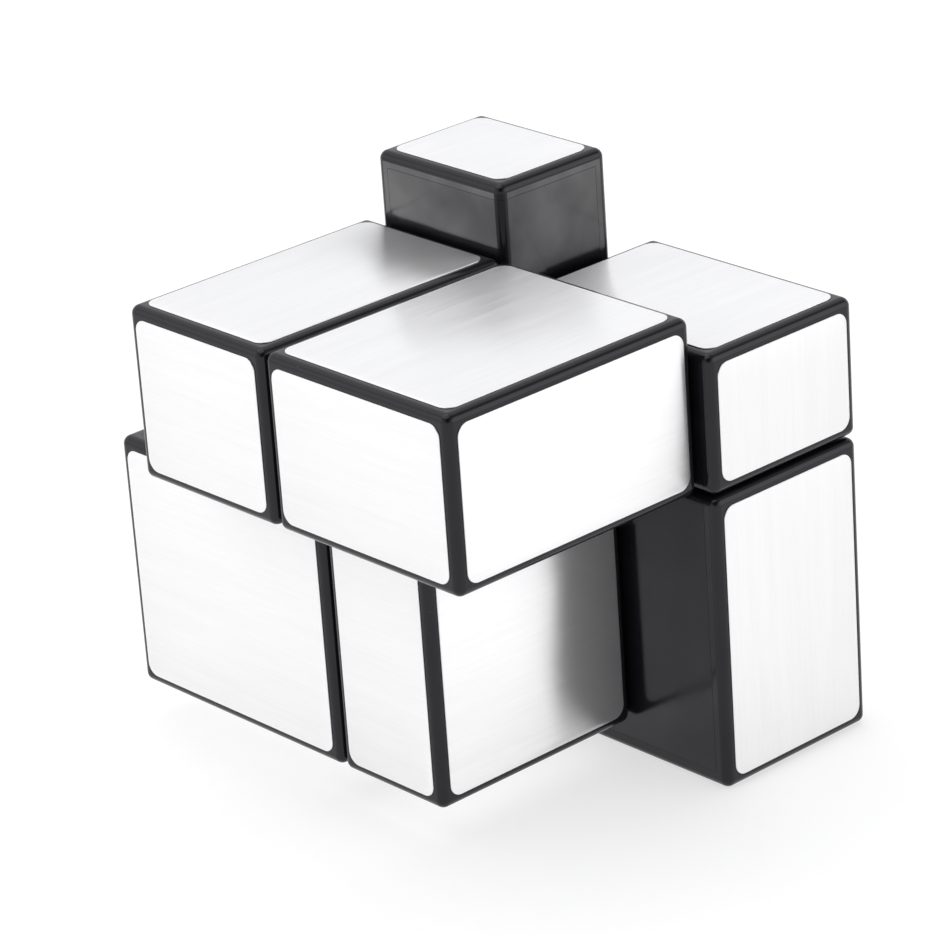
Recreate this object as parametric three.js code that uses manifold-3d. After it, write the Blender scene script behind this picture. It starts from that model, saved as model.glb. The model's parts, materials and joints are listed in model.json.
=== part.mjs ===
// A two-layer twisty puzzle whose three cuts all miss the middle, standing with its blocks mixed up.
// Eight hollow blocks turn on a hidden ball. The ball is a fixed core, which carries three sprung
// caps and one anchored block, and nine loose edge pieces that lock the other seven blocks in.
// Millimetres. +X is the right side, -Y the front, +Z up, and the origin is under the box's middle.
import * as THREE from 'three';
import { RoundedBoxGeometry } from 'three/addons/geometries/RoundedBoxGeometry.js';
import { mergeVertices } from 'three/addons/utils/BufferGeometryUtils.js';
import Module from 'manifold-3d';

const wasm = await Module();
wasm.setup();

// Layers of the solved cube. Each of its three cuts gives a thin layer and a thick one.
const CUBE_SIDE = 50;
const THIN_A = 16;
const THIN_B = 20;
const THIN_C = 22;
const THICK_A = CUBE_SIDE - THIN_A;
const THICK_B = CUBE_SIDE - THIN_B;
const THICK_C = CUBE_SIDE - THIN_C;

// Blocks.
const CUT_GAP = 0.3; // between two neighbouring blocks
const COVER_WALL = 1.7;
const BASE_WALL = 1.4;
const GLUE_LINE = 0.02; // between a cover and its base
const EDGE_RADIUS = 1;
const FOIL_THICKNESS = 0.1;
const FOIL_FILM = 0.03; // adhesive under each foil
const FOIL_MARGIN = 1.22; // bare plastic round each foil
const FOIL_CORNER = 1.4;

// Hidden ball.
const RUNNING_GAP = 0.3; // between two pieces that slide over each other
const CUP_WALL = 1.2;
const CORE_SHARE = 0.49; // radius of the solid middle, as a share of the ball's
const FOOT_SHARE = 0.82; // outer radius of the feet
const NECK_SHARE = 0.365; // how far from each cut plane the necks start
const SOLE_SHARE = 0.24; // how far from each cut plane the feet start
const PEG_RADIUS = 2;
const PEG_REACH = 4; // how far the anchor peg stands out of the ball
const SOCKET_WALL = 1.2;
const SOCKET_END = 1.5;

// Screws and springs.
const SCREW_RADIUS = 1;
const SCREW_HEAD_RADIUS = 1.8;
const SCREW_HEAD_HEIGHT = 1.2;
const SCREW_TIP = 2.2; // from the middle of the ball
const SCREW_SINK = 1; // head below the ball's surface
const THREAD_GAP = 0.3;
const RECESS_WIDTH = 0.5;
const RECESS_LENGTH = 2.2;
const RECESS_DEPTH = 0.7;
const WELL_GAP = 0.3;
const WELL_FLOOR = 1.4;
const WIRE_RADIUS = 0.2;
const SPRING_TURNS = 3;

// How finely round shapes are faceted.
const BALL_DETAIL = 5;
const FILLET_DETAIL = 2;
const ROUND_SIDES = 14;
const WIRE_SIDES = 5;
const STEPS_PER_TURN = 12;
const CORNER_STEPS = 3;

// Sizes that follow from those above.
const halfCut = CUT_GAP / 2;
const halfRun = RUNNING_GAP / 2;
const foilStack = FOIL_THICKNESS + FOIL_FILM;
const seatDepth = COVER_WALL + GLUE_LINE;
const thinnest = Math.min(THIN_A, THIN_B, THIN_C);
const ballRadius = thinnest - foilStack - seatDepth - CUP_WALL - halfRun;
const coreRadius = CORE_SHARE * ballRadius;
const footRadius = FOOT_SHARE * ballRadius;
const neckStart = NECK_SHARE * ballRadius;
const soleStart = SOLE_SHARE * ballRadius;
const cupRadius = ballRadius + halfRun;
const wellRadius = SCREW_HEAD_RADIUS + WELL_GAP;
const wellBottom = coreRadius + halfRun + WELL_FLOOR;
const headTop = ballRadius - SCREW_SINK;
const headBottom = headTop - SCREW_HEAD_HEIGHT;
const pegEnd = ballRadius + PEG_REACH;
const far = 2 * CUBE_SIDE; // beyond everything

// The eight blocks as they stand now: which octant each is in, and how far it reaches along X, Y
// and Z from the point where the cuts cross.
const BLOCKS = [
  { at: [1, -1, 1], reach: [THICK_C, THICK_A, THIN_B] },
  { at: [-1, -1, 1], reach: [THIN_C, THICK_A, THIN_B] },
  { at: [1, 1, 1], reach: [THICK_B, THIN_C, THIN_A] },
  { at: [-1, 1, 1], reach: [THIN_B, THIN_A, THICK_C] },
  { at: [1, -1, -1], reach: [THIN_A, THICK_C, THICK_B] },
  { at: [-1, -1, -1], reach: [THICK_A, THICK_C, THICK_B] },
  { at: [1, 1, -1], reach: [THICK_B, THIN_C, THICK_A] },
  { at: [-1, 1, -1], reach: [THIN_B, THIN_A, THIN_C] },
];
const ANCHOR = [-1, 1, -1]; // the octant whose block is fixed to the core
const CAPS = [[1, 0, 0], [0, -1, 0], [0, 0, 1]];
const SIDES = [['left', 'right'], ['front', 'back'], ['bottom', 'top']];

const placeName = (signs) => signs
  .map((sign, axis) => (sign ? SIDES[axis][(sign + 1) / 2] : ''))
  .filter(Boolean)
  .join('_');

// ---- solids -------------------------------------------------------------------------------------

function solid(geometry) {
  const bare = geometry.clone();
  bare.deleteAttribute('normal');
  bare.deleteAttribute('uv');
  const merged = mergeVertices(bare, 1e-4);
  const vertProperties = merged.attributes.position.array;
  const triVerts = new Uint32Array(merged.index.array);
  return new wasm.Manifold(new wasm.Mesh({ numProp: 3, vertProperties, triVerts }));
}

function geometryOf(body) {
  const mesh = body.getMesh();
  const geometry = new THREE.BufferGeometry();
  geometry.setAttribute('position', new THREE.BufferAttribute(mesh.vertProperties, 3));
  geometry.setIndex(new THREE.BufferAttribute(mesh.triVerts, 1));
  geometry.computeVertexNormals();
  return geometry;
}

function ball(radius) {
  return solid(new THREE.OctahedronGeometry(radius, BALL_DETAIL));
}

// A box between two corners.
function boxFrom(low, high) {
  const size = high.map((value, axis) => value - low[axis]);
  const geometry = new THREE.BoxGeometry(...size);
  geometry.translate(...high.map((value, axis) => (value + low[axis]) / 2));
  return solid(geometry);
}

// A round bar from one distance to another along a direction from the origin.
function bar(direction, from, to, radius) {
  const geometry = new THREE.CylinderGeometry(radius, radius, to - from, ROUND_SIDES);
  geometry.translate(0, (from + to) / 2, 0);
  geometry.applyQuaternion(turnTo(direction));
  return solid(geometry);
}

function turnTo(direction) {
  const target = new THREE.Vector3(...direction).normalize();
  return new THREE.Quaternion().setFromUnitVectors(new THREE.Vector3(0, 1, 0), target);
}

// The box that a hidden piece fills: beyond the offset on each axis it has a sign on, and within
// the offset on each axis it has none.
function cell(signs, offset) {
  const start = offset + halfRun;
  const middle = offset - halfRun;
  const low = signs.map((sign) => (sign > 0 ? start : sign < 0 ? -far : -middle));
  const high = signs.map((sign) => (sign > 0 ? far : sign < 0 ? -start : middle));
  return boxFrom(low, high);
}

// The box that the core fills: everything on the anchored block's side of all three offsets.
function anchorCell(offset) {
  const edge = offset - halfRun;
  const low = ANCHOR.map((sign) => (sign > 0 ? -edge : -far));
  const high = ANCHOR.map((sign) => (sign > 0 ? far : edge));
  return boxFrom(low, high);
}

// ---- hidden ball --------------------------------------------------------------------------------

const outerBall = ball(ballRadius - halfRun);
const footBall = ball(footRadius - halfRun);
const aroundFeet = ball(footRadius + halfRun);
const aroundCore = ball(coreRadius + halfRun);

function core() {
  const middle = ball(coreRadius - halfRun);
  const stem = outerBall.intersect(anchorCell(soleStart));
  const rim = outerBall.intersect(anchorCell(neckStart)).subtract(aroundFeet);
  const peg = bar(ANCHOR, coreRadius, pegEnd, PEG_RADIUS);
  let body = middle.add(stem).add(rim).add(peg);
  for (const axis of CAPS) {
    body = body.subtract(bar(axis, SCREW_TIP - THREAD_GAP, far, SCREW_RADIUS + THREAD_GAP));
  }
  return geometryOf(body);
}

function cap(axis) {
  const plate = outerBall.subtract(aroundFeet).intersect(cell(axis, neckStart));
  const stalk = outerBall.subtract(aroundCore).intersect(cell(axis, soleStart));
  const well = bar(axis, wellBottom, far, wellRadius);
  const hole = bar(axis, 0, far, SCREW_RADIUS + halfRun);
  return geometryOf(plate.add(stalk).subtract(well).subtract(hole));
}

// An edge piece. Its tab lies under the caps and over the feet of the blocks beside it.
function edge(signs) {
  const tab = outerBall.subtract(aroundFeet).intersect(cell(signs, neckStart));
  const foot = footBall.subtract(aroundCore).intersect(cell(signs, soleStart));
  const start = neckStart + halfRun;
  const middle = soleStart - halfRun;
  const low = signs.map((sign) => (sign > 0 ? start : sign < 0 ? -far : -middle));
  const high = signs.map((sign) => (sign > 0 ? far : sign < 0 ? -start : middle));
  const web = outerBall.subtract(aroundCore).intersect(boxFrom(low, high));
  return geometryOf(tab.add(foot).add(web));
}

// A pan-head screw with a cross recess, pointing down -Y with its tip nearest the origin.
function screw() {
  const bevel = SCREW_RADIUS / 2;
  const outline = [
    [0, SCREW_TIP],
    [SCREW_RADIUS - bevel, SCREW_TIP],
    [SCREW_RADIUS, SCREW_TIP + bevel],
    [SCREW_RADIUS, headBottom],
    [SCREW_HEAD_RADIUS, headBottom],
    [SCREW_HEAD_RADIUS, headTop - SCREW_HEAD_HEIGHT / 3],
    [SCREW_HEAD_RADIUS * 0.75, headTop],
    [0, headTop],
  ].map(([x, y]) => new THREE.Vector2(x, y));
  const shank = solid(new THREE.LatheGeometry(outline, ROUND_SIDES));
  const long = RECESS_LENGTH / 2;
  const wide = RECESS_WIDTH / 2;
  const floor = headTop - RECESS_DEPTH;
  const slot = boxFrom([-long, floor, -wide], [long, far, wide]);
  const cross = boxFrom([-wide, floor, -long], [wide, far, long]);
  return geometryOf(shank.subtract(slot.add(cross)));
}

class Helix extends THREE.Curve {
  constructor(radius, start, end, turns) {
    super();
    Object.assign(this, { radius, start, end, turns });
  }

  getPoint(t, target = new THREE.Vector3()) {
    const angle = 2 * Math.PI * this.turns * t;
    const height = this.start + (this.end - this.start) * t;
    return target.set(this.radius * Math.cos(angle), height, this.radius * Math.sin(angle));
  }
}

// The spring between the bottom of a cap's well and the screw's head.
function spring() {
  const radius = (SCREW_RADIUS + wellRadius) / 2;
  const clear = WIRE_RADIUS + halfRun;
  const path = new Helix(radius, wellBottom + clear, headBottom - clear, SPRING_TURNS);
  const section = new THREE.Shape();
  section.absarc(0, 0, WIRE_RADIUS, 0, 2 * Math.PI);
  const steps = SPRING_TURNS * STEPS_PER_TURN;
  const options = { steps, curveSegments: WIRE_SIDES, extrudePath: path, bevelEnabled: false };
  return geometryOf(solid(new THREE.ExtrudeGeometry(section, options)));
}

// ---- blocks -------------------------------------------------------------------------------------

// A box in the block's octant, from one inset inside its three cut faces to another inset inside
// its three outer faces.
function inset(block, fromCut, fromOuter) {
  const low = [];
  const high = [];
  block.at.forEach((sign, axis) => {
    const near = sign * (halfCut + fromCut);
    const end = sign * (block.reach[axis] - foilStack - fromOuter);
    low.push(Math.min(near, end));
    high.push(Math.max(near, end));
  });
  return { low, high };
}

function roundedBlock(block) {
  const { low, high } = inset(block, 0, 0);
  const size = high.map((value, axis) => value - low[axis]);
  const geometry = new RoundedBoxGeometry(...size, FILLET_DETAIL, EDGE_RADIUS);
  geometry.translate(...high.map((value, axis) => (value + low[axis]) / 2));
  return solid(geometry);
}

function openBox({ low, high }) {
  return boxFrom(low, high);
}

// The three outer walls, in one piece.
function cover(block) {
  return geometryOf(roundedBlock(block).subtract(openBox(inset(block, -far, COVER_WALL))));
}

// The three cut walls, the cup that runs on the ball, and the foot that the edge pieces hold.
function base(block) {
  const seat = openBox(inset(block, -far, seatDepth));
  const octant = openBox(inset(block, 0, 0));
  const hollow = openBox(inset(block, BASE_WALL, -far));
  const walls = roundedBlock(block).intersect(seat).subtract(hollow);
  const cup = ball(cupRadius + CUP_WALL).intersect(octant).intersect(seat);
  let body = walls.add(cup);
  if (block.at.every((sign, axis) => sign === ANCHOR[axis])) {
    const bore = PEG_RADIUS + halfRun;
    const socket = bar(block.at, ballRadius, pegEnd + halfRun + SOCKET_END, bore + SOCKET_WALL);
    const hole = bar(block.at, 0, pegEnd + halfRun, bore);
    body = body.add(socket.intersect(seat)).subtract(ball(cupRadius)).subtract(hole);
  } else {
    const neck = ball(cupRadius + CUP_WALL / 2).intersect(cell(block.at, neckStart));
    const foot = footBall.intersect(cell(block.at, soleStart));
    body = body.subtract(ball(cupRadius)).add(neck.add(foot).subtract(aroundCore));
  }
  return geometryOf(body);
}

function roundedSheet(width, height) {
  const radius = FOIL_CORNER;
  const x = width / 2 - radius;
  const y = height / 2 - radius;
  const shape = new THREE.Shape();
  shape.absarc(x, y, radius, 0, Math.PI / 2);
  shape.absarc(-x, y, radius, Math.PI / 2, Math.PI);
  shape.absarc(-x, -y, radius, Math.PI, 1.5 * Math.PI);
  shape.absarc(x, -y, radius, 1.5 * Math.PI, 2 * Math.PI);
  shape.closePath();
  const options = { depth: FOIL_THICKNESS, curveSegments: CORNER_STEPS, bevelEnabled: false };
  return geometryOf(solid(new THREE.ExtrudeGeometry(shape, options)));
}

// The foil on a block's outer face across one axis, standing off the plastic by its film.
function foil(block, axis) {
  const [across, up] = [(axis + 1) % 3, (axis + 2) % 3];
  const { low, high } = inset(block, FOIL_MARGIN, FOIL_MARGIN);
  const sheet = roundedSheet(high[across] - low[across], high[up] - low[up]);
  const place = new THREE.Vector3();
  place.setComponent(axis, block.at[axis] * (block.reach[axis] - FOIL_THICKNESS / 2));
  place.setComponent(across, (high[across] + low[across]) / 2);
  place.setComponent(up, (high[up] + low[up]) / 2);
  const columns = [across, up, axis].map((index) => {
    const column = new THREE.Vector3();
    column.setComponent(index, 1);
    return column;
  });
  const basis = new THREE.Matrix4().makeBasis(...columns);
  sheet.translate(0, 0, -FOIL_THICKNESS / 2);
  return { sheet, place, basis };
}

// ---- the puzzle ---------------------------------------------------------------------------------

const plastic = (color, roughness) => new THREE.MeshStandardMaterial({ color, roughness });
const metal = (color, roughness) => new THREE.MeshStandardMaterial({ color, roughness, metalness: 1 });
const paint = {
  cover: () => plastic(0x101011, 0.2),
  base: () => plastic(0x121213, 0.25),
  foil: () => metal(0xe2e3e6, 0.3),
  hidden: () => plastic(0xd8d8d4, 0.5),
  screw: () => metal(0xa9abb0, 0.35),
  spring: () => metal(0xc4c6ca, 0.3),
};

const puzzle = new THREE.Group();
puzzle.name = 'twisty_puzzle';

// Everything is drawn round the point where the cuts cross, in this group.
const ballFrame = new THREE.Group();
puzzle.add(ballFrame);

function put(name, geometry, material) {
  const mesh = new THREE.Mesh(geometry, material);
  mesh.name = name;
  ballFrame.add(mesh);
  return mesh;
}

put('core', core(), paint.hidden());

for (const axis of CAPS) {
  const place = placeName(axis);
  put('cap_' + place, cap(axis), paint.hidden());
  put('screw_' + place, screw(), paint.screw()).quaternion.copy(turnTo(axis));
  put('spring_' + place, spring(), paint.spring()).quaternion.copy(turnTo(axis));
}

const steps = [-1, 0, 1];
const cells = steps.flatMap((x) => steps.flatMap((y) => steps.map((z) => [x, y, z])));
const isEdge = (signs) => signs.filter((sign) => sign === 0).length === 1;
const isPartOfCore = (signs) => signs.every((sign, axis) => sign === 0 || sign === ANCHOR[axis]);
for (const signs of cells.filter((each) => isEdge(each) && !isPartOfCore(each))) {
  put('edge_' + placeName(signs), edge(signs), paint.hidden());
}

for (const block of BLOCKS) {
  const place = placeName(block.at);
  put('cover_' + place, cover(block), paint.cover());
  put('base_' + place, base(block), paint.base());
  block.at.forEach((sign, axis) => {
    const side = SIDES[axis][(sign + 1) / 2];
    const { sheet, place: middle, basis } = foil(block, axis);
    const mesh = put('foil_' + place + '_' + side, sheet, paint.foil());
    mesh.position.copy(middle);
    mesh.quaternion.setFromRotationMatrix(basis);
  });
}

// Stand the puzzle over the origin.
const farthest = (axis, sign) => Math.max(
  ...BLOCKS.filter((block) => block.at[axis] === sign).map((block) => block.reach[axis]),
);
ballFrame.position.set(
  (farthest(0, -1) - farthest(0, 1)) / 2,
  (farthest(1, -1) - farthest(1, 1)) / 2,
  farthest(2, -1),
);

export default puzzle;
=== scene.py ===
"""Looks of a mixed-up two-layer twisty puzzle: glossy black blocks with brushed silver foils.

Everything is in metres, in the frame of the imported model. Sizes come from the boxes of its nodes.
"""
import json
import math

import bmesh
import bpy
import numpy as np
from mathutils import Euler, Matrix, Vector


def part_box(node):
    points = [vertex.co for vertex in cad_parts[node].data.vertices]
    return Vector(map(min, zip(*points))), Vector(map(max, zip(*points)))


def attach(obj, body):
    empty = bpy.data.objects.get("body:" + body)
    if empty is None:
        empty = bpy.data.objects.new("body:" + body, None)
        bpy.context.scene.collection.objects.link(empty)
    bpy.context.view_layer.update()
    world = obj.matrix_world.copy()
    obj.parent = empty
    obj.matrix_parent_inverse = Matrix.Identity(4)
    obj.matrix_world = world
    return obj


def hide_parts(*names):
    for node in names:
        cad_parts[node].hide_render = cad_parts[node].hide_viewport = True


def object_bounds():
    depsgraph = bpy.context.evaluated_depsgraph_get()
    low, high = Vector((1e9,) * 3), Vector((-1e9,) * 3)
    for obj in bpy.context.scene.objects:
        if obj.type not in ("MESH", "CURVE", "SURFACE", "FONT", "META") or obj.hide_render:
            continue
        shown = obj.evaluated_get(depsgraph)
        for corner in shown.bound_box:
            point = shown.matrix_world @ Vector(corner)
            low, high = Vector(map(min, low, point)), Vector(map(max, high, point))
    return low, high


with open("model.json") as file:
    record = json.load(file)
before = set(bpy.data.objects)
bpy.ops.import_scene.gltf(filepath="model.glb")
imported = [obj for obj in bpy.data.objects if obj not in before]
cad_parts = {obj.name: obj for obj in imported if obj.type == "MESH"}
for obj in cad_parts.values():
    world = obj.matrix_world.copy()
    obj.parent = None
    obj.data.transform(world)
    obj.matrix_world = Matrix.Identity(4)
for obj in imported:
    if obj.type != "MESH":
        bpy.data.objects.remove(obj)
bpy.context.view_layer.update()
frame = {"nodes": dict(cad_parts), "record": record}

MM = 0.001
SIDES = (("left", "right"), ("front", "back"), ("bottom", "top"))  # low and high side of each axis

# Blocks.
EDGE_RADIUS = 1.0 * MM
COVER_WALL = 1.7 * MM
ARC_STEPS = 6  # facets over half of a rounded edge
GUARD = 0.03 * MM  # a narrow row beside each rounded edge keeps the flats flat in shading
SAME_POINT = GUARD / 100  # points of a cover that are nearer than this are joined
SAME_PLANE = GUARD / 10  # points that are nearer than this to a plane lie on it
SEAM_BEVEL = 0.025 * MM
SEAM_BEVEL_STEPS = 2
SEAM_ANGLE = 50  # degrees, less than at the edges of a seam and more than on a rounded edge
WELD = 0.001 * MM  # points of a copied CAD mesh that are nearer than this are joined
ONE_FACE = 0.5  # degrees within which its triangles are joined to one face
FLAT_ENOUGH = 0.9995  # a face is flat on its side if its normal leans less than about 2 degrees
CUT_MARK = "cut face"

# Foils.
FOIL_CORNER = 1.4 * MM
FOIL_BEVEL = 0.04 * MM
FOIL_BEVEL_MIDDLE = 0.3  # how far in and down the bevel's middle row lies, as a share of the bevel
CORNER_STEPS = 10
BRUSH_MAP = "brush"

# Screws and springs.
SCREW_RADIUS = 1.0 * MM
SCREW_TIP = SCREW_RADIUS / 2  # height and width of the bevel at its tip
SCREW_HEAD_HEIGHT = 1.2 * MM
DOME_SHARE = 1 / 3  # how much of the head's height is domed
DOME_STEPS = 6
DOME_FLAT = 0.5  # radius of the flat on the dome, as a share of the head's
DOME_FALL = 0.45  # how much of the head's radius the dome loses before its flat
SCREW_SIDES = 32
THREAD_PITCH = 0.45 * MM
THREAD_DEPTH = 0.13 * MM
THREAD_SHARE = 0.7  # how much of the shank is threaded
ROWS_PER_PITCH = 6
RECESS_WIDTH = 0.5 * MM
RECESS_LENGTH = 2.2 * MM
RECESS_DEPTH = 0.7 * MM
WIRE_RADIUS = 0.2 * MM
WIRE_SIDES = 12
SPRING_TURNS = 3
STEPS_PER_TURN = 40

# Faces that meet at more than this angle, in degrees, show a sharp edge.
SHARP = {"block": 35, "foil": 50, "screw": 30, "spring": 50}

# Heights between which the haze on the black plastic thickens.
HAZE_FROM = 36 * MM
HAZE_TO = 50 * MM

# Camera, seen from the point where the three cuts cross.
CUT_POINT = Vector((2, 6, 34)) * MM
CAMERA_PLACE = Vector((325.9, -291.9, 181.8)) * MM
CAMERA_AIM = Vector((-1.8, -4.7, -4.1)) * MM
CAMERA_ROLL = 4.06  # degrees
CAMERA_LENS = 166.2  # millimetres
CAMERA_REACH = (0.01, 20)  # nearest and furthest that it sees

BODY_OF = {
    node: body
    for body, nodes in frame["record"]["behaviour"]["bodies"].items()
    for node in nodes
}


# ---- meshes --------------------------------------------------------------------------------------

def mesh_object(name, points, faces):
    """A mesh object from an array of points and a list of faces."""
    mesh = bpy.data.meshes.new(name)
    mesh.from_pydata(np.asarray(points).tolist(), [], [list(map(int, face)) for face in faces])
    mesh.update()
    thing = bpy.data.objects.new(name, mesh)
    bpy.context.scene.collection.objects.link(thing)
    return thing


def apply_modifiers(thing):
    """Turns the modifiers of an object into its mesh."""
    graph = bpy.context.evaluated_depsgraph_get()
    done = bpy.data.meshes.new_from_object(thing.evaluated_get(graph))
    thing.modifiers.clear()
    thing.data = done


def smooth_by_angle(thing, degrees):
    """Smooth shading, with a sharp edge wherever two faces meet at more than an angle."""
    mesh = thing.data
    mesh.polygons.foreach_set("use_smooth", np.ones(len(mesh.polygons), bool))
    mesh.set_sharp_from_angle(angle=math.radians(degrees))


def mark_cut_faces(thing, at):
    """A "cut face" value on each face: 1 where it lies flat on one of the block's cut sides, which
    are those that look back toward the other blocks, and 0 elsewhere."""
    mesh = thing.data
    normals = np.empty(len(mesh.polygons) * 3)
    mesh.polygons.foreach_get("normal", normals)
    toward_cut = (-normals.reshape(-1, 3) * np.array(at)).max(axis=1)
    mark = mesh.attributes.new(CUT_MARK, "FLOAT", "FACE")
    mark.data.foreach_set("value", (toward_cut > FLAT_ENOUGH).astype(np.float32))


def grid_quads(shape):
    """The quads of a grid of points, each named by its points' places in the grid's own order."""
    index = np.arange(shape[0] * shape[1]).reshape(shape)
    corners = [index[:-1, :-1], index[1:, :-1], index[1:, 1:], index[:-1, 1:]]
    return np.stack(corners, axis=-1)


def skin_faces(rings, count):
    """The faces of a closed skin over rings of points: quads from each ring to the next, and a flat
    cap on the first ring and on the last."""
    here = np.arange(count)
    after = np.roll(here, -1)
    faces = []
    for ring in range(rings - 1):
        first, second = ring * count, (ring + 1) * count
        faces += np.stack([first + here, first + after, second + after, second + here],
                          axis=-1).tolist()
    return faces + [here[::-1].tolist(), ((rings - 1) * count + here).tolist()]


def rounded_nodes(half, radius, extra):
    """Places along one side of a rounded box, from its middle: an even arc at each end, a guard
    beside each arc, and any extra places, rounded to a nanometre so that no two nearly coincide."""
    inner = half - radius
    arc = inner + radius * np.tan(np.linspace(0, math.pi / 4, ARC_STEPS + 1))
    ends = np.concatenate([arc, [inner - GUARD]])
    return np.unique(np.round(np.concatenate([ends, -ends, extra]), 9))


def rounded_face(axis, sign, half, radius, nodes):
    """One face of a rounded box as a grid: a point of the sharp box's face is pulled on to a
    sphere of the fillet's radius about the nearest point of the inner, unrounded box."""
    across, up = (axis + 1) % 3, (axis + 2) % 3
    u, v = np.meshgrid(nodes[across], nodes[up], indexing="ij")
    sharp = np.empty(u.shape + (3,))
    sharp[..., axis] = sign * half[axis]
    sharp[..., across] = u
    sharp[..., up] = v
    nearest = np.clip(sharp, -(half - radius), half - radius)
    reach = sharp - nearest
    points = nearest + radius * reach / np.linalg.norm(reach, axis=-1, keepdims=True)
    quads = grid_quads(u.shape)
    if sign < 0:
        quads = quads[..., ::-1]
    middles = (u[1:, 1:] + u[:-1, :-1]) / 2, (v[1:, 1:] + v[:-1, :-1]) / 2
    return points.reshape(-1, 3), quads, middles


def cover_object(name, low, high, at):
    """A block's cover: all of a rounded box that lies within a wall of its three outer faces.

    The outer faces are whole grids. On each cut face only the strip beyond the seam is kept. Three
    flat sheets close the inside: each lies on the inner plane of one wall, and runs from the open
    corner of the strips to the point where the three inner planes meet."""
    low, high, at = np.array(low), np.array(high), np.array(at)
    middle = (low + high) / 2
    half = (high - low) / 2
    seam = at * (half - COVER_WALL)
    nodes = [
        rounded_nodes(half[axis], EDGE_RADIUS, [seam[axis], seam[axis] + at[axis] * GUARD])
        for axis in range(3)
    ]
    points, faces = [], []
    for axis in range(3):
        across, up = (axis + 1) % 3, (axis + 2) % 3
        for sign in (-1, 1):
            grid, quads, (u, v) = rounded_face(axis, sign, half, EDGE_RADIUS, nodes)
            keep = np.ones(u.shape, bool)
            if sign != at[axis]:
                beyond_u = u * at[across] > seam[across] * at[across]
                beyond_v = v * at[up] > seam[up] * at[up]
                keep = beyond_u | beyond_v
            start = sum(len(part) for part in points)
            points.append(grid)
            faces.append(quads[keep] + start)
    thing = mesh_object(name, np.concatenate(points) + middle, np.concatenate(faces))
    shell = bmesh.new()
    shell.from_mesh(thing.data)
    bmesh.ops.remove_doubles(shell, verts=shell.verts, dist=SAME_POINT)
    loose = [vert for vert in shell.verts if not vert.link_faces]
    bmesh.ops.delete(shell, geom=loose, context="VERTS")
    rim = [vert for vert in shell.verts if any(edge.is_boundary for edge in vert.link_edges)]
    corner = shell.verts.new(Vector(middle + seam))
    for axis in range(3):
        plane = middle[axis] + seam[axis]
        across, up = (axis + 1) % 3, (axis + 2) % 3
        ring = [vert for vert in rim if abs(vert.co[axis] - plane) < SAME_PLANE] + [corner]
        centre = sum((vert.co for vert in ring), Vector()) / len(ring)
        ring.sort(key=lambda vert: math.atan2(vert.co[up] - centre[up],
                                              vert.co[across] - centre[across]))
        shell.faces.new(ring)
    bmesh.ops.recalc_face_normals(shell, faces=shell.faces)
    shell.to_mesh(thing.data)
    shell.free()
    bevel = thing.modifiers.new("seam bevel", "BEVEL")
    bevel.width = SEAM_BEVEL
    bevel.segments = SEAM_BEVEL_STEPS
    bevel.limit_method = "ANGLE"
    bevel.angle_limit = math.radians(SEAM_ANGLE)
    apply_modifiers(thing)
    smooth_by_angle(thing, SHARP["block"])
    return thing


def merged_copy(name, node):
    """A copy of a CAD node's mesh, with its loose triangles joined and smoothed over its fillets."""
    source = frame["nodes"][node].data
    points = np.empty(len(source.vertices) * 3)
    source.vertices.foreach_get("co", points)
    faces = [tuple(face.vertices) for face in source.polygons]
    thing = mesh_object(name, points.reshape(-1, 3), faces)
    solid = bmesh.new()
    solid.from_mesh(thing.data)
    bmesh.ops.remove_doubles(solid, verts=solid.verts, dist=WELD)
    bmesh.ops.dissolve_limit(solid, angle_limit=math.radians(ONE_FACE), verts=solid.verts,
                             edges=solid.edges)
    solid.to_mesh(thing.data)
    solid.free()
    smooth_by_angle(thing, SHARP["block"])
    return thing


def rounded_outline(width, height, radius):
    """Points round a rectangle with round corners, anticlockwise, with each corner an arc."""
    turn = np.linspace(0, math.pi / 2, CORNER_STEPS + 1)
    quarters = [turn + quarter * math.pi / 2 for quarter in range(4)]
    signs = [(1, 1), (-1, 1), (-1, -1), (1, -1)]
    parts = [
        np.stack([
            sx * (width / 2 - radius) + radius * np.cos(angle),
            sy * (height / 2 - radius) + radius * np.sin(angle),
        ], axis=-1)
        for (sx, sy), angle in zip(signs, quarters)
    ]
    return np.concatenate(parts)


def foil_object(name, low, high, axis, sign, brush):
    """A foil: a round-cornered outline carried up a profile with a bevelled top edge, in the plane
    across one axis. Its UV map is in millimetres, with U across the brush lines."""
    low, high = np.array(low), np.array(high)
    across, up = (axis + 1) % 3, (axis + 2) % 3
    size = high - low
    middle = (low + high) / 2
    thick = size[axis]
    bend = FOIL_BEVEL * FOIL_BEVEL_MIDDLE
    profile = [(0, 0), (0, thick - FOIL_BEVEL), (bend, thick - bend), (FOIL_BEVEL, thick)]
    rings = []
    for inset, height in profile:
        flat = rounded_outline(size[across] - 2 * inset, size[up] - 2 * inset, FOIL_CORNER - inset)
        ring = np.empty((len(flat), 3))
        ring[:, across] = flat[:, 0]
        ring[:, up] = flat[:, 1]
        ring[:, axis] = sign * (height - thick / 2)
        rings.append(ring)
    faces = skin_faces(len(rings), len(rings[0]))
    if sign < 0:
        faces = [face[::-1] for face in faces]
    thing = mesh_object(name, np.concatenate(rings) + middle, faces)
    uv = thing.data.uv_layers.new(name=BRUSH_MAP)
    loops = np.empty(len(thing.data.loops), int)
    thing.data.loops.foreach_get("vertex_index", loops)
    places = np.concatenate(rings)[loops] + middle
    cross = ({0, 1, 2} - {axis, brush}).pop()
    flat = np.stack([places[:, cross], places[:, brush]], axis=-1) / MM
    uv.data.foreach_set("uv", flat.ravel())
    smooth_by_angle(thing, SHARP["foil"])
    return thing


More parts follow.
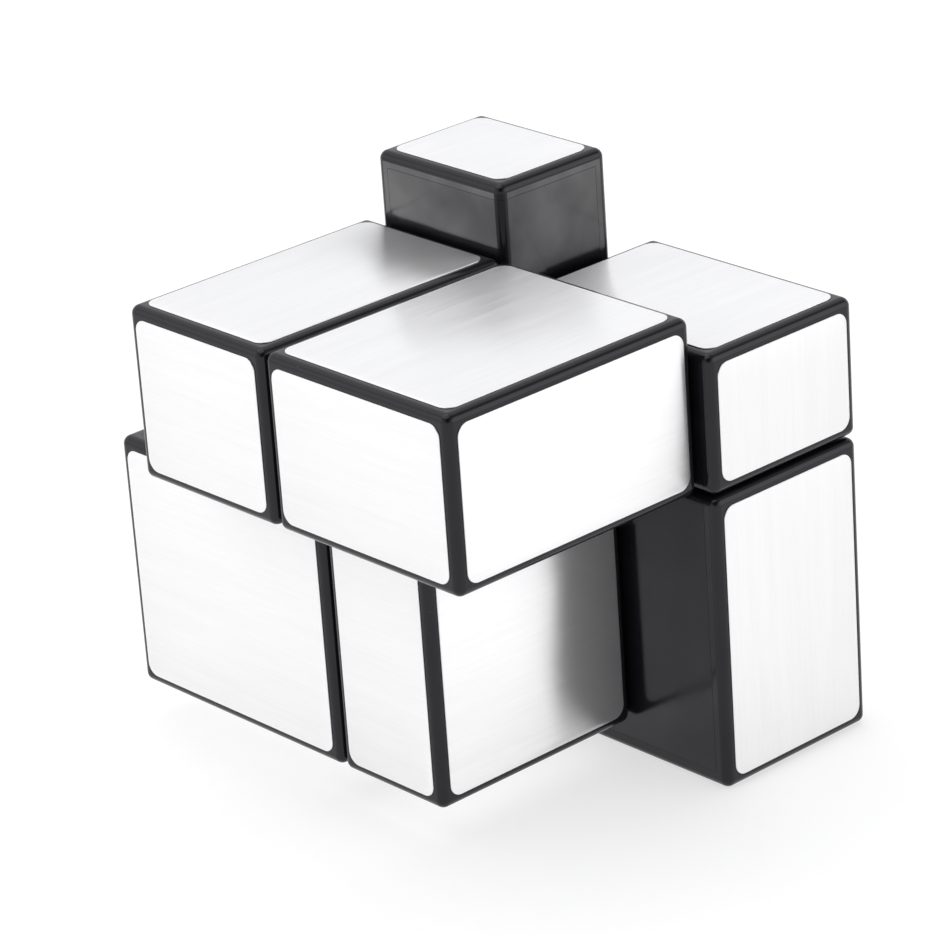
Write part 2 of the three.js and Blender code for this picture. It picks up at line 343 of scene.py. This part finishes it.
def place_on_axis(first, second, along, axis, sign):
    """Points from two offsets beside an axis through the cut point, and a distance along it."""
    points = np.empty(np.broadcast(first, second, along).shape + (3,))
    points[..., (axis + 1) % 3] = first
    points[..., (axis + 2) % 3] = second
    points[..., axis] = sign * along
    return points + np.array(CUT_POINT)


def closed_tube(name, points):
    """A closed skin over rings of points, whose faces are then turned to point outwards."""
    thing = mesh_object(name, points.reshape(-1, 3), skin_faces(*points.shape[:2]))
    skin = bmesh.new()
    skin.from_mesh(thing.data)
    bmesh.ops.recalc_face_normals(skin, faces=skin.faces)
    skin.to_mesh(thing.data)
    skin.free()
    return thing


def reach_of(node, axis, sign):
    """How far from the cut point a node starts and ends along an axis."""
    low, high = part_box(node)
    ends = sorted(sign * (corner[axis] - CUT_POINT[axis]) for corner in (low, high))
    return ends[0], ends[1]


def screw_object(name, node, axis, sign):
    """A screw: a profile carried round its axis, whose shank is cut by a thread. The thread's depth
    rises and falls evenly once per pitch along the axis, and moves on by a pitch for each turn. The
    dome's height follows a sine and its radius a cosine. Two crossed bars cut the recess in it."""
    tip, top = reach_of(node, axis, sign)
    low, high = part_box(node)
    head = (high[(axis + 1) % 3] - low[(axis + 1) % 3]) / 2
    neck = top - SCREW_HEAD_HEIGHT
    start = tip + SCREW_TIP
    rows = int(round((neck - start) / THREAD_PITCH * ROWS_PER_PITCH))
    dome = np.linspace(0, math.pi / 2, DOME_STEPS + 1)[1:-1]
    shoulder = top - SCREW_HEAD_HEIGHT * DOME_SHARE
    along = np.concatenate([[tip], np.linspace(start, neck, rows), [neck, shoulder],
                            shoulder + (top - shoulder) * np.sin(dome), [top]])
    radius = np.concatenate([[SCREW_RADIUS - SCREW_TIP], np.full(rows, SCREW_RADIUS), [head, head],
                             head * (1 - DOME_FALL * (1 - np.cos(dome))), [head * DOME_FLAT]])
    turn = np.linspace(0, 2 * math.pi, SCREW_SIDES, endpoint=False)
    along, turn = along[:, None], turn[None, :]
    phase = (along / THREAD_PITCH - turn / (2 * math.pi)) % 1
    end = start + (neck - start) * THREAD_SHARE
    threaded = np.clip((end - along) / THREAD_PITCH, 0, 1) * (along > tip)
    cut = THREAD_DEPTH * (1 - np.abs(2 * phase - 1)) * threaded
    radius = radius[:, None] - cut
    screw = closed_tube(name, place_on_axis(radius * np.cos(turn), radius * np.sin(turn),
                                            along + 0 * turn, axis, sign))
    for number, (wide, long) in enumerate([(RECESS_WIDTH, RECESS_LENGTH),
                                           (RECESS_LENGTH, RECESS_WIDTH)]):
        first = np.array([1, 1, -1, -1]) * wide / 2
        second = np.array([-1, 1, 1, -1]) * long / 2
        depth = np.array([[top - RECESS_DEPTH], [top + RECESS_DEPTH]])
        bar = closed_tube(f"{name} cutter {number}",
                          place_on_axis(first[None, :] + 0 * depth, second[None, :] + 0 * depth,
                                        depth + 0 * first[None, :], axis, sign))
        recess = screw.modifiers.new("recess", "BOOLEAN")
        recess.operation = "DIFFERENCE"
        recess.solver = "EXACT"
        recess.object = bar
        bpy.context.view_layer.update()
        apply_modifiers(screw)
        bpy.data.objects.remove(bar)
    smooth_by_angle(screw, SHARP["screw"])
    return screw


def spring_object(name, node, axis, sign):
    """A coil spring: a round wire carried along a helix. Each point is the helix's, plus the wire's
    radius times a cosine outwards and times a sine across the wire, square to its slope."""
    first, last = reach_of(node, axis, sign)
    low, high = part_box(node)
    outer = (high[(axis + 1) % 3] - low[(axis + 1) % 3]) / 2
    radius = outer - WIRE_RADIUS
    share = np.linspace(0, 1, SPRING_TURNS * STEPS_PER_TURN + 1)[:, None]
    turn = 2 * math.pi * SPRING_TURNS * share
    rise = last - first - 2 * WIRE_RADIUS
    slope = math.atan2(rise, 2 * math.pi * SPRING_TURNS * radius)
    round_wire = np.linspace(0, 2 * math.pi, WIRE_SIDES, endpoint=False)[None, :]
    out = radius + WIRE_RADIUS * np.cos(round_wire)
    across = WIRE_RADIUS * np.sin(round_wire)
    x = out * np.cos(turn) + across * math.sin(slope) * np.sin(turn)
    y = out * np.sin(turn) - across * math.sin(slope) * np.cos(turn)
    along = first + WIRE_RADIUS + rise * share + across * math.cos(slope)
    spring = closed_tube(name, place_on_axis(x, y, along, axis, sign))
    smooth_by_angle(spring, SHARP["spring"])
    return spring


# ---- material helpers ----------------------------------------------------------------------------

class Nodes:
    """Short ways to add and join nodes in one tree."""

    def __init__(self, tree):
        self.tree = tree

    def add(self, kind, **values):
        node = self.tree.nodes.new(kind)
        for key, value in values.items():
            setattr(node, key, value)
        return node

    def join(self, source, target):
        self.tree.links.new(source, target)

    def feed(self, socket, value):
        if isinstance(value, bpy.types.NodeSocket):
            self.join(value, socket)
        else:
            socket.default_value = value

    def math(self, operation, first, second):
        node = self.add("ShaderNodeMath", operation=operation)
        self.feed(node.inputs[0], first)
        self.feed(node.inputs[1], second)
        return node.outputs[0]

    def mixed(self, first, first_share, second, second_share):
        """Two values, each times its share, added together."""
        return self.math("ADD", self.math("MULTIPLY", first, first_share),
                         self.math("MULTIPLY", second, second_share))

    def noise(self, vector, scale, detail=2.0, rough=0.5):
        node = self.add("ShaderNodeTexNoise")
        self.feed(node.inputs["Vector"], vector)
        self.feed(node.inputs["Scale"], scale)
        node.inputs["Detail"].default_value = detail
        node.inputs["Roughness"].default_value = rough
        return node.outputs["Fac"]

    def span(self, value, low, high, to_low=0.0, to_high=1.0):
        node = self.add("ShaderNodeMapRange", clamp=True)
        for socket, given in zip(node.inputs, (value, low, high, to_low, to_high)):
            self.feed(socket, given)
        return node.outputs[0]

    def blend(self, share, first, second):
        node = self.add("ShaderNodeMix", data_type="RGBA")
        self.feed(node.inputs[0], share)
        self.feed(node.inputs[6], first)
        self.feed(node.inputs[7], second)
        return node.outputs[2]

    def stretch(self, vector, scale):
        node = self.add("ShaderNodeMapping")
        self.join(vector, node.inputs["Vector"])
        node.inputs["Scale"].default_value = scale
        return node.outputs[0]

    def group(self, tree, **values):
        node = self.add("ShaderNodeGroup", node_tree=tree)
        for key, value in values.items():
            self.feed(node.inputs[key.replace("_", " ")], value)
        return node.outputs


def new_group(name, inputs, outputs):
    """An empty node group. Each material that holds it gives all of its inputs a value."""
    tree = bpy.data.node_groups.new(name, "ShaderNodeTree")
    for label, kind in inputs:
        tree.interface.new_socket(name=label, in_out="INPUT", socket_type=kind)
    for label, kind in outputs:
        tree.interface.new_socket(name=label, in_out="OUTPUT", socket_type=kind)
    nodes = Nodes(tree)
    return nodes, nodes.add("NodeGroupInput").outputs, nodes.add("NodeGroupOutput").inputs


# Scales are in cells to a metre. Levels are the values of a noise that are spread out to 0 and 1.
GRAIN_SCALE = 9000.0
GRAIN_DEPTH = 0.06  # as a share of the peel's
SMEAR_SCALE = 130.0
SMEAR_LEVELS = (0.42, 0.72)
SPECK_SCALE = 700.0
SPECK_RIM = (0.02, 0.07)  # where a speck starts to fade and where it ends, in cells from its middle
DUSTY_SCALE = 210.0
DUSTY_LEVELS = (0.5, 0.68)


def moulded_group():
    """Moulded plastic: a faint orange peel, and soft smears where fingers have been."""
    nodes, given, out = new_group(
        "moulded surface",
        [("Vector", "NodeSocketVector"), ("Peel Size", "NodeSocketFloat"),
         ("Gloss", "NodeSocketFloat"), ("Smear", "NodeSocketFloat")],
        [("Height", "NodeSocketFloat"), ("Roughness", "NodeSocketFloat")])
    peel = nodes.noise(given["Vector"], given["Peel Size"], detail=1.0)
    grain = nodes.noise(given["Vector"], GRAIN_SCALE)
    nodes.join(nodes.math("ADD", peel, nodes.math("MULTIPLY", grain, GRAIN_DEPTH)), out["Height"])
    smear = nodes.span(nodes.noise(given["Vector"], SMEAR_SCALE, detail=4.0, rough=0.6),
                       *SMEAR_LEVELS)
    nodes.join(nodes.math("ADD", given["Gloss"], nodes.math("MULTIPLY", smear, given["Smear"])),
               out["Roughness"])
    return nodes.tree


def dust_group():
    """Dust: sparse pale specks of different sizes, as a mask."""
    nodes, given, out = new_group(
        "dust specks",
        [("Vector", "NodeSocketVector"), ("Amount", "NodeSocketFloat")],
        [("Mask", "NodeSocketFloat")])
    cells = nodes.add("ShaderNodeTexVoronoi")
    nodes.join(given["Vector"], cells.inputs["Vector"])
    cells.inputs["Scale"].default_value = SPECK_SCALE
    near = nodes.span(cells.outputs["Distance"], *SPECK_RIM, 1.0, 0.0)
    patch = nodes.span(nodes.noise(given["Vector"], DUSTY_SCALE), *DUSTY_LEVELS)
    mask = nodes.math("MULTIPLY", nodes.math("MULTIPLY", near, patch), given["Amount"])
    nodes.join(mask, out["Mask"])
    return nodes.tree


MOULDED = moulded_group()
DUST = dust_group()


def new_material(name, colour):
    """A material with its plain colour in view, its nodes, its shader, and Object coordinates."""
    material = bpy.data.materials.new(name)
    material.use_nodes = True
    material.diffuse_color = (*colour, 1)
    nodes = Nodes(material.node_tree)
    shader = material.node_tree.nodes["Principled BSDF"]
    where = nodes.add("ShaderNodeTexCoord").outputs["Object"]
    return material, nodes, shader, where


def bump(nodes, shader, height, distance):
    """Fine relief: a height of 0 to 1 that stands for a distance in metres."""
    node = nodes.add("ShaderNodeBump")
    node.inputs["Distance"].default_value = distance
    node.inputs["Strength"].default_value = 1.0
    nodes.join(height, node.inputs["Height"])
    nodes.join(node.outputs[0], shader.inputs["Normal"])


BLACK_IN_VIEW = (0.02, 0.02, 0.022)
BLACK_TONES = ((0.006, 0.0058, 0.0072, 1), (0.009, 0.0086, 0.0106, 1))
BLACK_PEEL_SCALE = 650.0
BLACK_PEEL_DEPTH = 0.006 * MM
BLACK_DUST = 0.35
BLACK_DUST_COLOUR = (0.2, 0.2, 0.2, 1)
BLACK_DUST_ROUGHNESS = 0.4  # what dust adds to the roughness
BLACK_SPECULAR = 0.35
BLACK_SPECULAR_TINT = (0.95, 0.93, 1.0, 1)
BLOTCH_SCALE = 150.0
BLOTCH_LEVELS = (0.3, 0.7)
HAZE_LEAST = 0.08  # weight of the haze below HAZE_FROM
HAZE_BETWEEN = 0.4  # weight of the haze between blotches
HAZE_ROUGHNESS = 0.2
HAZE_IOR = 1.8


def black_plastic(name, gloss, smear):
    """Black styrene, polished by its mould, with a slightly cool gloss and a little dust. The cut
    faces have a thin greasy haze in soft blotches, which is thickest high up, where hands hold the
    puzzle."""
    material, nodes, shader, where = new_material(name, BLACK_IN_VIEW)
    surface = nodes.group(MOULDED, Vector=where, Peel_Size=BLACK_PEEL_SCALE, Gloss=gloss,
                          Smear=smear)
    mask = nodes.group(DUST, Vector=where, Amount=BLACK_DUST)["Mask"]
    tone = nodes.span(nodes.noise(where, BLOTCH_SCALE), *BLOTCH_LEVELS)
    black = nodes.blend(tone, *BLACK_TONES)
    nodes.join(nodes.blend(mask, black, BLACK_DUST_COLOUR), shader.inputs["Base Color"])
    dust = nodes.math("MULTIPLY", mask, BLACK_DUST_ROUGHNESS)
    nodes.join(nodes.math("ADD", surface["Roughness"], dust), shader.inputs["Roughness"])
    shader.inputs["Specular IOR Level"].default_value = BLACK_SPECULAR
    shader.inputs["Specular Tint"].default_value = BLACK_SPECULAR_TINT
    height = nodes.add("ShaderNodeSeparateXYZ")
    nodes.join(where, height.inputs[0])
    held = nodes.span(height.outputs["Z"], HAZE_FROM, HAZE_TO, HAZE_LEAST, 1.0)
    cut = nodes.add("ShaderNodeAttribute", attribute_name=CUT_MARK).outputs["Fac"]
    blotches = nodes.span(tone, 0.0, 1.0, HAZE_BETWEEN, 1.0)
    haze = nodes.math("MULTIPLY", nodes.math("MULTIPLY", blotches, held), cut)
    nodes.join(haze, shader.inputs["Coat Weight"])
    shader.inputs["Coat Roughness"].default_value = HAZE_ROUGHNESS
    shader.inputs["Coat IOR"].default_value = HAZE_IOR
    bump(nodes, shader, surface["Height"], BLACK_PEEL_DEPTH)
    return material


FOIL_IN_VIEW = (0.9, 0.9, 0.91)
FOIL_TONES = ((0.92, 0.916, 0.924, 1), (0.985, 0.984, 0.99, 1))
FOIL_METALLIC = 0.82
FOIL_ANISOTROPIC = 0.9
FOIL_ROUGHNESS = (0.3, 0.4)
BRUSH_DEPTH = 0.0018 * MM
# Cells to a millimetre across and along the lines, their detail and their roughness.
HAIRS = ((9.0, 0.22, 1), 3.0, 0.7)
LINES = ((2.4, 0.07, 1), 3.0, 0.6)
BANDS = ((0.55, 0.03, 1), 2.0, 0.5)
HAIR_SHARE = 0.45
LINE_SHARE = 0.55
LINES_IN_TONE = 0.7
BANDS_IN_TONE = 0.3
TONE_LEVELS = (0.35, 0.65)
LINE_LEVELS = (0.3, 0.7)


def brushed_foil(name):
    """Metallised foil: bright silver with fine straight brush lines of three widths along V."""
    material, nodes, shader, _ = new_material(name, FOIL_IN_VIEW)
    place = nodes.add("ShaderNodeUVMap", uv_map=BRUSH_MAP).outputs[0]
    hair, line, band = (
        nodes.noise(nodes.stretch(place, cells), 1.0, detail, rough)
        for cells, detail, rough in (HAIRS, LINES, BANDS)
    )
    lines = nodes.mixed(hair, HAIR_SHARE, line, LINE_SHARE)
    tone = nodes.span(nodes.mixed(lines, LINES_IN_TONE, band, BANDS_IN_TONE), *TONE_LEVELS)
    nodes.join(nodes.blend(tone, *FOIL_TONES), shader.inputs["Base Color"])
    shader.inputs["Metallic"].default_value = FOIL_METALLIC
    nodes.join(nodes.span(lines, *LINE_LEVELS, *FOIL_ROUGHNESS), shader.inputs["Roughness"])
    shader.inputs["Anisotropic"].default_value = FOIL_ANISOTROPIC
    tangent = nodes.add("ShaderNodeTangent", direction_type="UV_MAP", uv_map=BRUSH_MAP)
    nodes.join(tangent.outputs[0], shader.inputs["Tangent"])
    bump(nodes, shader, lines, BRUSH_DEPTH)
    return material


WHITE_IN_VIEW = (0.8, 0.8, 0.77)
WHITE_COLOUR = (0.8, 0.8, 0.765, 1)
WHITE_PEEL_SCALE = 1500.0
WHITE_PEEL_DEPTH = 0.01 * MM
WHITE_GLOSS = 0.38
WHITE_SMEAR = 0.1
WHITE_DUST = 0.5
WHITE_DUST_COLOUR = (0.45, 0.44, 0.4, 1)


def white_plastic(name):
    """Off-white acetal of the hidden ball: satin, with fine grain."""
    material, nodes, shader, where = new_material(name, WHITE_IN_VIEW)
    surface = nodes.group(MOULDED, Vector=where, Peel_Size=WHITE_PEEL_SCALE, Gloss=WHITE_GLOSS,
                          Smear=WHITE_SMEAR)
    mask = nodes.group(DUST, Vector=where, Amount=WHITE_DUST)["Mask"]
    nodes.join(nodes.blend(mask, WHITE_COLOUR, WHITE_DUST_COLOUR), shader.inputs["Base Color"])
    nodes.join(surface["Roughness"], shader.inputs["Roughness"])
    bump(nodes, shader, surface["Height"], WHITE_PEEL_DEPTH)
    return material


MARK_SCALE = 6000.0
MARK_COLOUR_LEVELS = (0.35, 0.65)
MARK_ROUGH_LEVELS = (0.3, 0.7)
MARK_DEPTH = 0.004 * MM
MARK_SHADE = 0.72  # how bright the marks are beside the plain steel
SMOOTHER, ROUGHER = 0.06, 0.1  # how far the marks take the roughness down and up


def steel(name, colour, rough):
    """Plated steel, mottled with fine marks that are a little darker."""
    material, nodes, shader, where = new_material(name, colour)
    marks = nodes.noise(where, MARK_SCALE, detail=3.0)
    shade = tuple(MARK_SHADE * value for value in colour)
    nodes.join(nodes.blend(nodes.span(marks, *MARK_COLOUR_LEVELS), (*shade, 1), (*colour, 1)),
               shader.inputs["Base Color"])
    shader.inputs["Metallic"].default_value = 1.0
    nodes.join(nodes.span(marks, *MARK_ROUGH_LEVELS, rough - SMOOTHER, rough + ROUGHER),
               shader.inputs["Roughness"])
    bump(nodes, shader, marks, MARK_DEPTH)
    return material


# ---- the puzzle ----------------------------------------------------------------------------------

BALL_PLASTIC = white_plastic("white ball plastic")
MATERIALS = {
    "cover": black_plastic("glossy black cover", gloss=0.13, smear=0.07),
    "base": black_plastic("glossy black base", gloss=0.14, smear=0.09),
    "foil": brushed_foil("brushed silver foil"),
    "core": BALL_PLASTIC,
    "cap": BALL_PLASTIC,
    "edge": BALL_PLASTIC,
    "screw": steel("plated screw steel", colour=(0.6, 0.6, 0.62), rough=0.3),
    "spring": steel("spring wire", colour=(0.66, 0.66, 0.67), rough=0.24),
}


def finish_piece(piece, node, kind):
    """Gives a new piece its material and the body of the node that it stands for, and hides that
    node.
    """
    piece.data.materials.clear()
    piece.data.materials.append(MATERIALS[kind])
    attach(piece, BODY_OF[node])
    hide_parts(node)


def octant(words):
    """The signs of the three axes that a block's name gives."""
    return tuple(2 * SIDES[axis].index(word) - 1 for axis, word in enumerate(words[1:4]))


def side_of(word):
    """The axis and the sign that the name of a side stands for."""
    axis = next(index for index, pair in enumerate(SIDES) if word in pair)
    return axis, 2 * SIDES[axis].index(word) - 1


def brush_axis(at, axis):
    """The axis that a foil's brush lines run along: front to back on the top and the bottom, left
    to right on the front and the back, and on the left and the right sides upright on the back
    blocks and front to back on the front ones."""
    if axis == 2:
        return 1
    if axis == 1:
        return 0
    return 2 if at[1] > 0 else 1


def build_pieces():
    """One new piece for each node. A piece without a function of its own is a copy of its node."""
    for node in sorted(frame["nodes"]):
        words = node.split("_")
        kind = words[0]
        if kind == "cover":
            piece = cover_object("fine_" + node, *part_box(node), octant(words))
            mark_cut_faces(piece, octant(words))
        elif kind == "foil":
            at = octant(words)
            axis, sign = side_of(words[4])
            piece = foil_object("fine_" + node, *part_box(node), axis, sign, brush_axis(at, axis))
        elif kind == "screw":
            piece = screw_object("fine_" + node, node, *side_of(words[1]))
        elif kind == "spring":
            piece = spring_object("fine_" + node, node, *side_of(words[1]))
        else:
            piece = merged_copy("fine_" + node, node)
            if kind == "base":
                mark_cut_faces(piece, octant(words))
        finish_piece(piece, node, kind)


build_pieces()


# ---- studio --------------------------------------------------------------------------------------

FLOOR_SIZE = 6.0
FLOOR_LINES = 9
PAPER_IN_VIEW = (0.9, 0.9, 0.9)
PAPER_TONES = ((0.4, 0.4, 0.4, 1), (0.43, 0.43, 0.43, 1))
PAPER_FIBRE_SCALE = 400.0
PAPER_ROUGHNESS = 0.9
PAPER_GLOW = 0.64  # light from under the sheet
TENT_COLOUR = (0.985, 0.99, 1.0, 1)
HORIZON_LEVEL = 1.03
CEILING_LEVEL = 0.3
PANEL_LEVEL = 1.06
PANEL_CENTRE = (-131, 32)  # azimuth and elevation of the bright panel behind the puzzle
PANEL_ANGLES = (62, 44)
CEILING_ANGLES = (27, 42)  # where the walls of the tent start to dim, and where its ceiling starts
DARK_LEVEL = 0.04  # how bright the opening in the tent is, which the camera looks in through
DARK_CENTRE = (47, 38)  # azimuth and elevation of the opening
DARK_ANGLES = (40, 22)  # from its middle to where the tent is bright again, and to where it is dark
SOFTBOX_DISTANCE = 1.1
SOFTBOXES = (  # name, azimuth, elevation, width and height, power
    ("overhead softbox", -20, 75, (1.2, 1.2), 6),
    ("left softbox", -50, 35, (0.8, 1.0), 0.8),
    ("right softbox", 122, 12, (0.9, 0.9), 2),
)


def studio_floor():
    """A pale sheet: a flat square grid, level with the lowest point of the puzzle."""
    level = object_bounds()[0][2]
    side = np.linspace(-FLOOR_SIZE / 2, FLOOR_SIZE / 2, FLOOR_LINES)
    x, y = np.meshgrid(side, side, indexing="ij")
    points = np.stack([x, y, np.full(x.shape, level)], axis=-1).reshape(-1, 3)
    floor = mesh_object("floor", points, grid_quads(x.shape).reshape(-1, 4))
    material, nodes, shader, where = new_material("pale paper", PAPER_IN_VIEW)
    fibre = nodes.noise(where, PAPER_FIBRE_SCALE, detail=3.0)
    nodes.join(nodes.blend(fibre, *PAPER_TONES), shader.inputs["Base Color"])
    shader.inputs["Roughness"].default_value = PAPER_ROUGHNESS
    shader.inputs["Emission Color"].default_value = (1, 1, 1, 1)
    shader.inputs["Emission Strength"].default_value = PAPER_GLOW
    floor.data.materials.append(material)


def studio_world():
    """A white tent with a dimmer ceiling, a bright panel in one wall, and an opening opposite that
    wall, which is dark."""
    world = bpy.data.worlds.new("white tent")
    bpy.context.scene.world = world
    world.use_nodes = True
    nodes = Nodes(world.node_tree)
    back = world.node_tree.nodes["Background"]
    way = nodes.add("ShaderNodeTexCoord").outputs["Generated"]
    height = nodes.add("ShaderNodeSeparateXYZ")
    nodes.join(way, height.inputs[0])
    walls, ceiling = (math.sin(math.radians(angle)) for angle in CEILING_ANGLES)
    tent = nodes.span(height.outputs["Z"], walls, ceiling, HORIZON_LEVEL, CEILING_LEVEL)

    def spot(centre, angles, outside, inside):
        """One level inside a cone of directions and another outside it, with a soft edge."""
        facing = nodes.add("ShaderNodeVectorMath", operation="DOT_PRODUCT")
        nodes.join(way, facing.inputs[0])
        facing.inputs[1].default_value = away_from(*centre)
        wide, narrow = (math.cos(math.radians(angle)) for angle in angles)
        return nodes.span(facing.outputs["Value"], wide, narrow, outside, inside)

    panel = spot(PANEL_CENTRE, PANEL_ANGLES, 0.0, PANEL_LEVEL)
    opening = spot(DARK_CENTRE, DARK_ANGLES, 1.0, DARK_LEVEL)
    lit = nodes.math("MAXIMUM", tent, panel)
    nodes.join(nodes.math("MULTIPLY", lit, opening), back.inputs["Strength"])
    back.inputs["Color"].default_value = TENT_COLOUR


def away_from(azimuth, elevation):
    """The direction at an azimuth turned right from the front, and an elevation."""
    turn, rise = math.radians(azimuth), math.radians(elevation)
    return Vector((math.sin(turn) * math.cos(rise), -math.cos(turn) * math.cos(rise),
                   math.sin(rise)))


def softbox(name, azimuth, elevation, size, power):
    """A square or oblong light that faces the point where the three cuts cross."""
    light = bpy.data.lights.new(name, "AREA")
    light.shape = "RECTANGLE"
    light.size, light.size_y = size
    light.energy = power
    box = bpy.data.objects.new(name, light)
    bpy.context.scene.collection.objects.link(box)
    away = away_from(azimuth, elevation)
    box.location = CUT_POINT + away * SOFTBOX_DISTANCE
    box.rotation_euler = (-away).to_track_quat("-Z", "Y").to_euler()


def studio_camera():
    """A long lens that looks from its place to its aim, rolled a little about that line."""
    camera = bpy.data.objects.new("camera", bpy.data.cameras.new("camera"))
    bpy.context.scene.collection.objects.link(camera)
    look = (CAMERA_AIM - CAMERA_PLACE).to_track_quat("-Z", "Y").to_matrix()
    roll = Euler((0, 0, -math.radians(CAMERA_ROLL))).to_matrix()
    camera.matrix_world = Matrix.Translation(CUT_POINT + CAMERA_PLACE) @ (look @ roll).to_4x4()
    camera.data.lens = CAMERA_LENS
    camera.data.clip_start, camera.data.clip_end = CAMERA_REACH
    bpy.context.scene.camera = camera


studio_floor()
studio_world()
for values in SOFTBOXES:
    softbox(*values)
studio_camera()
bpy.context.scene.view_settings.view_transform = "Standard"
